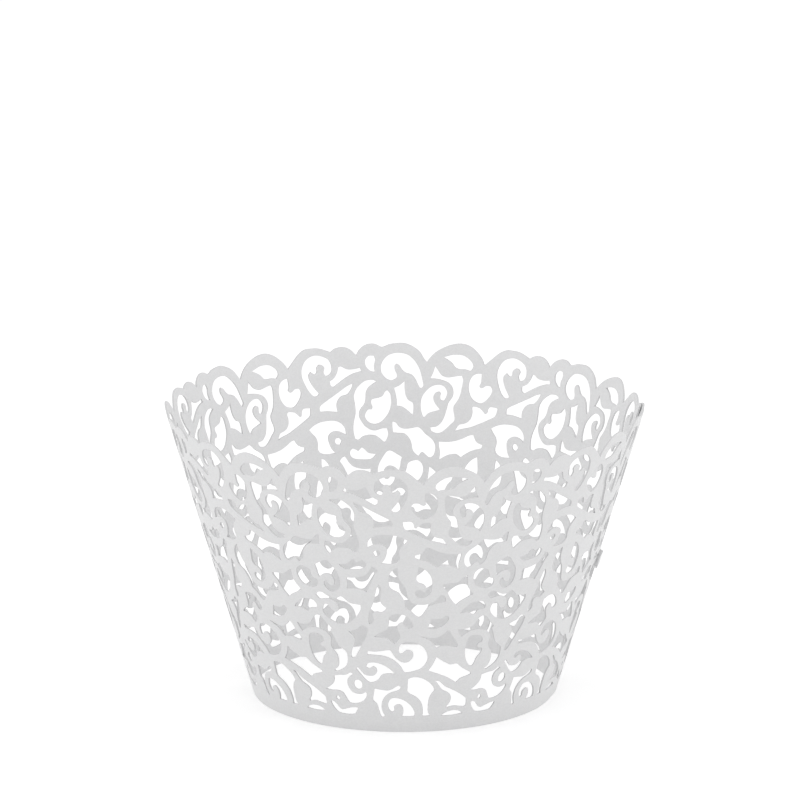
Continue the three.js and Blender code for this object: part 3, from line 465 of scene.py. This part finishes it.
def clip_loop(loop, place, side):
    """The parts of a loop on one side of a straight cut across the card."""
    inside = [(point.x - place) * side > 0 for point in loop]
    if all(inside):
        return [loop]
    if not any(inside):
        return []
    count = len(loop)
    start = next(i for i in range(count) if not inside[i] and inside[(i + 1) % count])
    chains = []
    for step in range(count):
        i, after = (start + step) % count, (start + step + 1) % count
        here, there = loop[i], loop[after]
        if inside[i]:
            chains[-1].append(here)
        if inside[i] != inside[after]:
            crossing = here.lerp(there, (place - here.x) / (there.x - here.x))
            if inside[after]:
                chains.append([crossing])
            else:
                chains[-1].append(crossing)
    return join_chains(chains)


def end_cutouts():
    """What is left of the cut-outs that the plain ends cut into."""
    left = []
    for number in range(-SPARE_REPEATS, REPEATS + SPARE_REPEATS):
        shift = Vector(((number - PATTERN_START) * REPEAT_WIDTH, 0))
        for loop in repeat_loops:
            moved = [point + shift for point in loop]
            whole = all(PLAIN_FROM < point.x < PLAIN_TO for point in moved)
            if not whole:
                parts = clip_loop(moved, PLAIN_FROM, 1)
                parts = [piece for part in parts for piece in clip_loop(part, PLAIN_TO, -1)]
                left += [part for part in parts if area_of(part) > SMALLEST_CUT]
    return left


end_loops = end_cutouts()
print(len(end_loops), "cut-outs shortened at the seam")

# %% [markdown]
# ## The sheet's own edge
# The bottom edge is straight and the top edge is scalloped. At the inner end a small tab
# stands out, and near the outer end there is a slot for it. The edge is drawn as one closed
# line and the slot as another, because Fill Curve takes a closed line inside another for a
# hole.

# %% Outline of the sheet, with its tab and slot
BAND_STEP = 1.2
SMALLEST_STEP = 0.3
RAMP_STEPS = 8


def top_edge():
    """The scallops along the whole sheet, from beyond one end to beyond the other."""
    line = []
    edge = smooth_line([on_card(point) for point in scallops])
    for number in range(-SPARE_REPEATS, REPEATS + SPARE_REPEATS):
        shift = Vector(((number - PATTERN_START) * REPEAT_WIDTH, 0))
        line += [point + shift for point in edge[:-1]]
    return line


def height_at(line, place):
    """Height of a line at a place along the card."""
    after = next(i for i, point in enumerate(line) if point.x >= place)
    left, right = line[after - 1], line[after]
    return left.lerp(right, (place - left.x) / (right.x - left.x)).y


def tab_corners():
    """The tab's outline, from its top root round to its bottom root."""
    top, bottom = TAB_LEVEL + TAB_HEIGHT / 2, TAB_LEVEL - TAB_HEIGHT / 2
    ramp = [-SLOT_START - SLOT_WIDTH * step / RAMP_STEPS for step in range(RAMP_STEPS + 1)]
    upper = [(place, top) for place in [0.0] + ramp] + [(TAB_CORNER - TAB_LENGTH, top)]
    tip = [(-TAB_LENGTH, top - TAB_CORNER), (-TAB_LENGTH, bottom + TAB_CORNER)]
    lower = [(place, bottom) for place, level in reversed(upper)]
    return [Vector(corner) for corner in upper + tip + lower]


def sheet_outline():
    """The closed outline of the flat sheet."""
    top = top_edge()
    steps = math.ceil(SHEET_END / BAND_STEP)
    bottom = [Vector((SHEET_END * step / steps, 0)) for step in range(steps + 1)]
    scalloped = [point for point in top if SMALLEST_STEP < point.x < SHEET_END - SMALLEST_STEP]
    outer_corner = Vector((SHEET_END, height_at(top, SHEET_END)))
    inner_corner = Vector((0, height_at(top, 0)))
    return bottom + [outer_corner] + scalloped[::-1] + [inner_corner] + tab_corners()


def slot_outline():
    """The slot near the outer end, a little taller than the tab."""
    near = FULL_TURN - SLOT_START
    half = TAB_HEIGHT / 2 + SLOT_MARGIN
    corners = [(near - SLOT_WIDTH, -half), (near, -half), (near, half), (near - SLOT_WIDTH, half)]
    return [Vector((place, TAB_LEVEL + level)) for place, level in corners]


outline = sheet_outline()
print("outline of the sheet:", len(outline), "points")

# %% [markdown]
# ## Flat curves for Geometry Nodes
# Two helper objects carry the drawing into Blender: one holds a single repeat of the
# scroll, the other the sheet's edge, the slot and the shortened cut-outs. Both are plain
# closed lines on the floor plane, still in millimetres.

# %% Make curve objects from the loops


def flat_curves(name, loops):
    """A curve object with one closed line for each loop."""
    data = bpy.data.curves.new(name, "CURVE")
    data.dimensions = "3D"
    for loop in loops:
        spline = data.splines.new("POLY")
        spline.points.add(len(loop) - 1)
        for target, point in zip(spline.points, loop):
            target.co = (point.x, point.y, 0, 1)
        spline.use_cyclic_u = True
    curves = bpy.data.objects.new(name, data)
    bpy.context.scene.collection.objects.link(curves)
    return curves


one_repeat = flat_curves("one_repeat", repeat_loops)
sheet = flat_curves("card_sheet", [outline, slot_outline()] + end_loops)
print("closed lines:", len(one_repeat.data.splines), "in a repeat,", len(sheet.data.splines), "in the sheet")

# %% [markdown]
# ## A few helpers for node trees
# Every tree needs inputs with names, nodes and links. The nodes could be placed one by one,
# but a small function for sums keeps the rolling formula readable, since each step of it is
# one Math node.

# %% Helpers for building trees


def new_tree(name, numbers):
    """A geometry tree with a geometry input, named number inputs and a geometry output."""
    tree = bpy.data.node_groups.new(name, "GeometryNodeTree")
    tree.interface.new_socket("Geometry", in_out="INPUT", socket_type="NodeSocketGeometry")
    tree.interface.new_socket("Geometry", in_out="OUTPUT", socket_type="NodeSocketGeometry")
    for number, value in numbers.items():
        kind = "NodeSocketInt" if isinstance(value, int) else "NodeSocketFloat"
        socket = tree.interface.new_socket(number, in_out="INPUT", socket_type=kind)
        socket.default_value = value
    return tree


def plug(tree, socket, value):
    """Link a socket, or set it to a plain value."""
    if isinstance(value, bpy.types.NodeSocket):
        tree.links.new(value, socket)
    else:
        socket.default_value = value


def add(tree, kind, **links):
    """A node with its inputs linked or set; an underscore in an input's name is a space."""
    node = tree.nodes.new(kind)
    for name, value in links.items():
        plug(tree, node.inputs[name.replace("_", " ")], value)
    return node


def calc(tree, operation, *values):
    """The result of one Math node."""
    node = tree.nodes.new("ShaderNodeMath")
    node.operation = operation
    for socket, value in zip(node.inputs, values):
        plug(tree, socket, value)
    return node.outputs[0]


def use_tree(piece, tree, **objects):
    """Put the tree on a piece as a modifier, with its named numbers at their defaults."""
    modifier = piece.modifiers.new(tree.name, "NODES")
    modifier.node_group = tree
    for item in tree.interface.items_tree:
        if item.in_out == "INPUT" and item.name in objects:
            modifier[item.identifier] = objects[item.name]


helpers = [new_tree, plug, add, calc, use_tree]
print("helpers:", [helper.__name__ for helper in helpers])

# %% [markdown]
# ## Cutting the sheet
# This tree repeats the scroll along the strip, drops the cut-outs that reach into the plain
# ends, since the sheet brings those shortened, and fills what lies between the edge and
# the holes. Cutting three hundred holes with Booleans would be slow, and a fill gives the
# same card at once. Extruding the fill gives the card its thickness. The faces that the
# extrusion makes along the cuts get a mark, so that they can take a darker colour: partly
# the laser's scorch, partly painted shade for the thin edges.

# %% Geometry Nodes: repeat the scroll along the strip
cut = new_tree("Cut the card", {
    "Repeats": REPEATS + 2 * SPARE_REPEATS,
    "Repeat width": REPEAT_WIDTH,
    "First repeat": -(SPARE_REPEATS + PATTERN_START) * REPEAT_WIDTH,
    "Plain from": PLAIN_FROM,
    "Plain to": PLAIN_TO,
    "Card thickness": CARD_THICKNESS,
})
cut.interface.new_socket("Repeat", in_out="INPUT", socket_type="NodeSocketObject")
given = cut.nodes.new("NodeGroupInput").outputs

drawing = add(cut, "GeometryNodeObjectInfo", Object=given["Repeat"])
step = add(cut, "ShaderNodeCombineXYZ", X=given["Repeat width"])
start = add(cut, "ShaderNodeCombineXYZ", X=given["First repeat"])
places = add(cut, "GeometryNodeMeshLine", Count=given["Repeats"], Start_Location=start.outputs[0],
             Offset=step.outputs[0])
copies = add(cut, "GeometryNodeInstanceOnPoints", Points=places.outputs[0],
             Instance=drawing.outputs["Geometry"])
repeated = add(cut, "GeometryNodeRealizeInstances", Geometry=copies.outputs[0])
print("repeats laid out:", REPEATS + 2 * SPARE_REPEATS)

# %% Geometry Nodes: drop the cut-outs that reach into the plain ends
along = add(cut, "ShaderNodeSeparateXYZ", Vector=cut.nodes.new("GeometryNodeInputPosition").outputs[0])
before_plain = calc(cut, "LESS_THAN", along.outputs[0], given["Plain from"])
past_plain = calc(cut, "GREATER_THAN", along.outputs[0], given["Plain to"])
outside = calc(cut, "ADD", before_plain, past_plain)
owner = cut.nodes.new("GeometryNodeCurveOfPoint")
crossing = cut.nodes.new("GeometryNodeAccumulateField")
crossing.data_type = "FLOAT"
plug(cut, crossing.inputs["Value"], outside)
plug(cut, crossing.inputs["Group ID"], owner.outputs["Curve Index"])
crosses = calc(cut, "GREATER_THAN", crossing.outputs["Total"], 0.5)
kept = add(cut, "GeometryNodeDeleteGeometry", Geometry=repeated.outputs[0], Selection=crosses)
print("whole cut-outs lie from", round(PLAIN_FROM, 1), "to", round(PLAIN_TO, 1), "mm along the sheet")

# %% Geometry Nodes: fill the card and give it its thickness
JOIN_DISTANCE = 0.0001
lines = cut.nodes.new("GeometryNodeJoinGeometry")
cut.links.new(given["Geometry"], lines.inputs[0])
cut.links.new(kept.outputs[0], lines.inputs[0])
face = add(cut, "GeometryNodeFillCurve", Curve=lines.outputs[0])
down = add(cut, "ShaderNodeCombineXYZ", Z=-1.0)
wall = add(cut, "GeometryNodeExtrudeMesh", Mesh=face.outputs[0], Offset=down.outputs[0],
           Offset_Scale=given["Card thickness"], Individual=False)
marked = cut.nodes.new("GeometryNodeStoreNamedAttribute")
marked.domain = "FACE"
marked.data_type = "FLOAT"
plug(cut, marked.inputs["Geometry"], wall.outputs["Mesh"])
plug(cut, marked.inputs["Name"], "cut_edge")
plug(cut, marked.inputs["Value"], wall.outputs["Side"])
back = add(cut, "GeometryNodeFlipFaces", Mesh=marked.outputs[0])
both = cut.nodes.new("GeometryNodeJoinGeometry")
cut.links.new(face.outputs[0], both.inputs[0])
cut.links.new(back.outputs[0], both.inputs[0])
closed = add(cut, "GeometryNodeMergeByDistance", Geometry=both.outputs[0], Distance=JOIN_DISTANCE)
add(cut, "NodeGroupOutput", Geometry=closed.outputs[0])
use_tree(sheet, cut, Repeat=one_repeat)
print("tree:", cut.name, "with", len(cut.nodes), "nodes")

# %% [markdown]
# ## Rolling the sheet
# Rolling is one formula. How far along the sheet a point lies gives its angle, and how far
# up gives its radius and height. A Simple Deform modifier could bend the sheet too, but it
# knows neither the cone's slope nor the seam. Two small lifts make the seam: the outer end
# climbs by one card over the inner end, and the tab climbs through the slot to lie on the
# outside.

# %% Geometry Nodes: the lift at the seam
roll = new_tree("Roll the card", {
    "Base radius": BASE_RADIUS,
    "Mouth radius": MOUTH_RADIUS,
    "Height": HEIGHT,
    "Slant": SLANT,
    "Full turn": FULL_TURN,
    "Seam angle": math.radians(SEAM_DEGREES),
    "Layer step": CARD_THICKNESS + LAYER_GAP,
    "Lift length": LIFT_LENGTH,
    "Slot start": SLOT_START,
    "Slot width": SLOT_WIDTH,
    "Millimetre": MILLIMETRE,
})
given = roll.nodes.new("NodeGroupInput").outputs
flat = add(roll, "ShaderNodeSeparateXYZ", Vector=roll.nodes.new("GeometryNodeInputPosition").outputs[0])
place, up, depth = flat.outputs

on_tab = calc(roll, "LESS_THAN", place, 0.0)
turned_on = calc(roll, "MULTIPLY_ADD", on_tab, given["Full turn"], place)
climb = roll.nodes.new("ShaderNodeMapRange")
climb.interpolation_type = "SMOOTHSTEP"
plug(roll, climb.inputs["Value"], turned_on)
plug(roll, climb.inputs["From Min"], calc(roll, "SUBTRACT", given["Full turn"], given["Lift length"]))
plug(roll, climb.inputs["From Max"], calc(roll, "SUBTRACT", given["Full turn"], given["Slot start"]))
plug(roll, climb.inputs["To Max"], given["Layer step"])
past_root = calc(roll, "SUBTRACT", calc(roll, "MULTIPLY", place, -1.0), given["Slot start"])
through = calc(roll, "DIVIDE", past_root, given["Slot width"])
through.node.use_clamp = True
tab_lift = calc(roll, "MULTIPLY", through, calc(roll, "ADD", climb.outputs[0], given["Layer step"]))
off_tab = calc(roll, "SUBTRACT", 1.0, on_tab)
lift = calc(roll, "MULTIPLY_ADD", on_tab, tab_lift, calc(roll, "MULTIPLY", off_tab, climb.outputs[0]))
print("the outer end lies", round(CARD_THICKNESS + LAYER_GAP, 2), "mm further out")

# %% Geometry Nodes: bend the flat sheet round the cone
share = calc(roll, "DIVIDE", up, given["Slant"])
flare = calc(roll, "SUBTRACT", given["Mouth radius"], given["Base radius"])
across = calc(roll, "DIVIDE", given["Slant"], given["Height"])
cone = calc(roll, "MULTIPLY_ADD", share, flare, given["Base radius"])
radius = calc(roll, "MULTIPLY_ADD", calc(roll, "ADD", lift, depth), across, cone)
turn = calc(roll, "MULTIPLY", calc(roll, "DIVIDE", place, given["Full turn"]), 2 * math.pi)
angle = calc(roll, "ADD", turn, given["Seam angle"])
rolled = add(
    roll, "ShaderNodeCombineXYZ",
    X=calc(roll, "MULTIPLY", radius, calc(roll, "COSINE", angle)),
    Y=calc(roll, "MULTIPLY", radius, calc(roll, "SINE", angle)),
    Z=calc(roll, "MULTIPLY", share, given["Height"]),
)
small = roll.nodes.new("ShaderNodeVectorMath")
small.operation = "SCALE"
plug(roll, small.inputs[0], rolled.outputs[0])
plug(roll, small.inputs["Scale"], given["Millimetre"])
moved = add(roll, "GeometryNodeSetPosition", Geometry=given["Geometry"], Position=small.outputs[0])
print("cone:", BASE_RADIUS, "to", MOUTH_RADIUS, "mm in radius")

# %% Geometry Nodes: smooth faces, crisp cut edges and the material
SHARP_EDGE = math.radians(40)
soft = add(roll, "GeometryNodeSetShadeSmooth", Geometry=moved.outputs[0], Shade_Smooth=True)
fold = roll.nodes.new("GeometryNodeInputMeshEdgeAngle").outputs["Unsigned Angle"]
crisp = roll.nodes.new("GeometryNodeSetShadeSmooth")
crisp.domain = "EDGE"
plug(roll, crisp.inputs["Geometry"], soft.outputs[0])
plug(roll, crisp.inputs["Shade Smooth"], calc(roll, "LESS_THAN", fold, SHARP_EDGE))
single = add(roll, "GeometryNodeRealizeInstances", Geometry=crisp.outputs[0])
finish_of_card = add(roll, "GeometryNodeSetMaterial", Geometry=single.outputs[0])
add(roll, "NodeGroupOutput", Geometry=finish_of_card.outputs[0])
print("tree:", roll.name, "with", len(roll.nodes), "nodes")

# %% [markdown]
# ## The pearl card
# Pearl card is white stock with a thin coat of mica. Close up it is a fine mottle of flakes
# that catch the light one by one; from a step away it has a soft, even gloss. Cells the
# size of flakes vary the colour and the roughness a little and tilt the surface, and a
# slower noise keeps the sheet from looking like plastic. Cut edges are painted darker:
# partly the laser's scorch, partly painted shade for the thin edges.

# %% Material of the card
FLAKE_SIZE = 0.00022
CLOUD_SIZE = 0.004
CARD_COLOUR = (0.80, 0.80, 0.805, 1)
FLAKE_COLOUR = (0.88, 0.88, 0.885, 1)
# darker colour of the cut edges: partly laser scorch, partly painted shade
SCORCH_AND_SHADE_COLOUR = (0.68, 0.68, 0.685, 1)
COAT_WEIGHT = 0.15
COAT_ROUGHNESS = 0.35
LEAST_ROUGHNESS = 0.36
ROUGHNESS_SPREAD = 0.18
FLAKE_TILT = 0.12
FLAKE_DEPTH = 0.00002


def mix_colour(tree, share, first, second):
    """A blend of two colours."""
    node = tree.nodes.new("ShaderNodeMix")
    node.data_type = "RGBA"
    colours = [socket for socket in node.inputs if socket.type == "RGBA"]
    plug(tree, node.inputs["Factor"], share)
    plug(tree, colours[0], first)
    plug(tree, colours[1], second)
    return next(socket for socket in node.outputs if socket.type == "RGBA")


def pearl_card():
    """White card with a mica coat, and a darker colour at its cut edges: partly laser scorch, partly painted
    shade.
    """
    material = bpy.data.materials.new("pearl_coated_card")
    material.use_nodes = True
    tree = material.node_tree
    shader = tree.nodes["Principled BSDF"]
    shader.inputs["Specular IOR Level"].default_value = 0.5
    shader.inputs["Coat Weight"].default_value = COAT_WEIGHT
    shader.inputs["Coat Roughness"].default_value = COAT_ROUGHNESS
    where = tree.nodes.new("ShaderNodeTexCoord").outputs["Object"]

    flakes = add(tree, "ShaderNodeTexVoronoi", Vector=where, Scale=1 / FLAKE_SIZE)
    flake = add(tree, "ShaderNodeSeparateXYZ", Vector=flakes.outputs["Color"])
    clouds = add(tree, "ShaderNodeTexNoise", Vector=where, Scale=1 / CLOUD_SIZE, Detail=3.0)

    tint = calc(tree, "MULTIPLY", flake.outputs[0], 0.5)
    shine = calc(tree, "MULTIPLY_ADD", clouds.outputs["Fac"], 0.5, tint)
    face = mix_colour(tree, shine, CARD_COLOUR, FLAKE_COLOUR)
    edge = tree.nodes.new("ShaderNodeAttribute")
    edge.attribute_name = "cut_edge"
    # cut edges get the darker colour: partly laser scorch, partly painted shade
    colour = mix_colour(tree, edge.outputs["Fac"], face, SCORCH_AND_SHADE_COLOUR)
    tree.links.new(colour, shader.inputs["Base Color"])

    rough = calc(tree, "MULTIPLY_ADD", flake.outputs[1], ROUGHNESS_SPREAD, LEAST_ROUGHNESS)
    tree.links.new(rough, shader.inputs["Roughness"])
    bump = add(tree, "ShaderNodeBump", Height=flake.outputs[2], Strength=FLAKE_TILT,
               Distance=FLAKE_DEPTH)
    tree.links.new(bump.outputs[0], shader.inputs["Normal"])
    return material


card_finish = pearl_card()
finish_of_card.inputs["Material"].default_value = card_finish
print("material:", card_finish.name)

# %% [markdown]
# ## The finished wrapper
# The two trees run one after the other on the flat curves. The result is copied to a plain
# mesh, which takes the CAD solid's place, and the helper curves are thrown away. Filled
# curves bring an empty material slot along, and that goes too.

# %% Bake the trees to one mesh
use_tree(sheet, roll)
graph = bpy.context.evaluated_depsgraph_get()
mesh = bpy.data.meshes.new_from_object(sheet.evaluated_get(graph))
mesh.name = "cut_card_wrapper"
mesh.materials.pop(index=0)
wrapper = bpy.data.objects.new("cut_card_wrapper", mesh)
bpy.context.scene.collection.objects.link(wrapper)
for helper in (sheet, one_repeat):
    bpy.data.objects.remove(helper)

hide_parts("wrapper")
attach(wrapper, "root")
mesh.calc_loop_triangles()
print("wrapper:", len(mesh.vertices), "points,", len(mesh.loop_triangles), "triangles")
print("materials on it:", [material.name for material in mesh.materials])

# %% [markdown]
# ## Floor and light
# The wrapper stands on a white sheet in even studio light. The floor glows faintly where
# the camera sees it, so that it reaches the white of the backdrop and still keeps the soft
# shadow under the card. A lamp overhead and two broad ones at the sides light the cone
# nearly evenly, its two edges a touch more than its front.

# %% Floor
FLOOR_SIZE = 6.0
FLOOR_GLOW = 0.31
FLOOR_WHITE = (0.9, 0.9, 0.9, 1)
FLOOR_ROUGHNESS = 0.9


def white_floor():
    """A matt white floor that the camera sees a little brighter."""
    material = bpy.data.materials.new("white_floor")
    material.use_nodes = True
    tree = material.node_tree
    shader = tree.nodes["Principled BSDF"]
    shader.inputs["Base Color"].default_value = FLOOR_WHITE
    shader.inputs["Roughness"].default_value = FLOOR_ROUGHNESS
    shader.inputs["Specular IOR Level"].default_value = 0.0
    shader.inputs["Emission Color"].default_value = (1, 1, 1, 1)
    rays = tree.nodes.new("ShaderNodeLightPath").outputs
    seen = calc(tree, "MAXIMUM", rays["Is Camera Ray"], rays["Is Glossy Ray"])
    tree.links.new(calc(tree, "MULTIPLY", seen, FLOOR_GLOW), shader.inputs["Emission Strength"])
    return material


half = FLOOR_SIZE / 2
floor_mesh = bpy.data.meshes.new("floor")
floor_corners = [(-half, -half, 0), (half, -half, 0), (half, half, 0), (-half, half, 0)]
floor_mesh.from_pydata(floor_corners, [], [(0, 1, 2, 3)])
floor_mesh.materials.append(white_floor())
floor = bpy.data.objects.new("floor", floor_mesh)
bpy.context.scene.collection.objects.link(floor)
print("floor:", FLOOR_SIZE, "m wide")

# %% Lamps, in metres and watts
OVERHEAD_PLACE = (0, 0.1, 0.8)
OVERHEAD_SIZE = 0.7
OVERHEAD_POWER = 1.0
SIDE_OUT = 0.92
SIDE_FORWARD = 0.42
SIDE_HEIGHT = 0.3
SIDE_SIZE = 0.8
SIDE_POWER = 1.6


def lamp(name, place, size, power):
    """A square area lamp at a place, pointing at the middle of the wrapper."""
    data = bpy.data.lights.new(name, "AREA")
    data.size = size
    data.energy = power
    light = bpy.data.objects.new(name, data)
    light.location = place
    middle = Vector((0, 0, HEIGHT * MILLIMETRE / 2))
    light.rotation_euler = (middle - Vector(place)).to_track_quat("-Z", "Y").to_euler()
    bpy.context.scene.collection.objects.link(light)


lamp("overhead", OVERHEAD_PLACE, OVERHEAD_SIZE, OVERHEAD_POWER)
lamp("left side", (-SIDE_OUT, -SIDE_FORWARD, SIDE_HEIGHT), SIDE_SIZE, SIDE_POWER)
lamp("right side", (SIDE_OUT, -SIDE_FORWARD, SIDE_HEIGHT), SIDE_SIZE, SIDE_POWER)
print("lamps:", [light.name for light in bpy.data.lights])

# %% World
WORLD_LEVEL = 0.70
world = bpy.data.worlds.new("white_studio")
bpy.context.scene.world = world
world.use_nodes = True
sky = world.node_tree
shade = sky.nodes["Background"]
shade.inputs["Color"].default_value = (1, 1, 1, 1)
rays = sky.nodes.new("ShaderNodeLightPath").outputs
bounced = calc(sky, "MAXIMUM", rays["Is Glossy Ray"], rays["Is Transmission Ray"])
seen = calc(sky, "MAXIMUM", rays["Is Camera Ray"], bounced)
sky.links.new(calc(sky, "MULTIPLY_ADD", seen, 1 - WORLD_LEVEL, WORLD_LEVEL), shade.inputs["Strength"])
print("world light:", WORLD_LEVEL)

# %% [markdown]
# ## The camera
# A long lens from far off, as in a catalogue: 16 degrees above the table and level. The
# wrapper stands low in the picture, with white above it.

# %% Camera
PICTURE = 800
ELEVATION = math.radians(16.4)
DISTANCE = 1.6
PIXELS_PER_METRE = 6024
AIM_HEIGHT = 0.020
AIM_PIXEL = (403.6, 572.1)
SENSOR = 36.0

focal_pixels = PIXELS_PER_METRE * DISTANCE
camera_data = bpy.data.cameras.new("camera")
camera_data.sensor_width = SENSOR
camera_data.lens = focal_pixels / PICTURE * SENSOR
camera = bpy.data.objects.new("camera", camera_data)
camera.location = (0, -DISTANCE * math.cos(ELEVATION), AIM_HEIGHT + DISTANCE * math.sin(ELEVATION))
tilt = math.atan((AIM_PIXEL[1] - PICTURE / 2) / focal_pixels)
swing = math.atan((AIM_PIXEL[0] - PICTURE / 2) / focal_pixels)
camera.rotation_euler = (math.pi / 2 - ELEVATION + tilt, 0, swing)
bpy.context.scene.collection.objects.link(camera)
bpy.context.scene.camera = camera
bpy.context.scene.view_settings.view_transform = "Standard"
print("lens, mm:", round(camera_data.lens, 1))
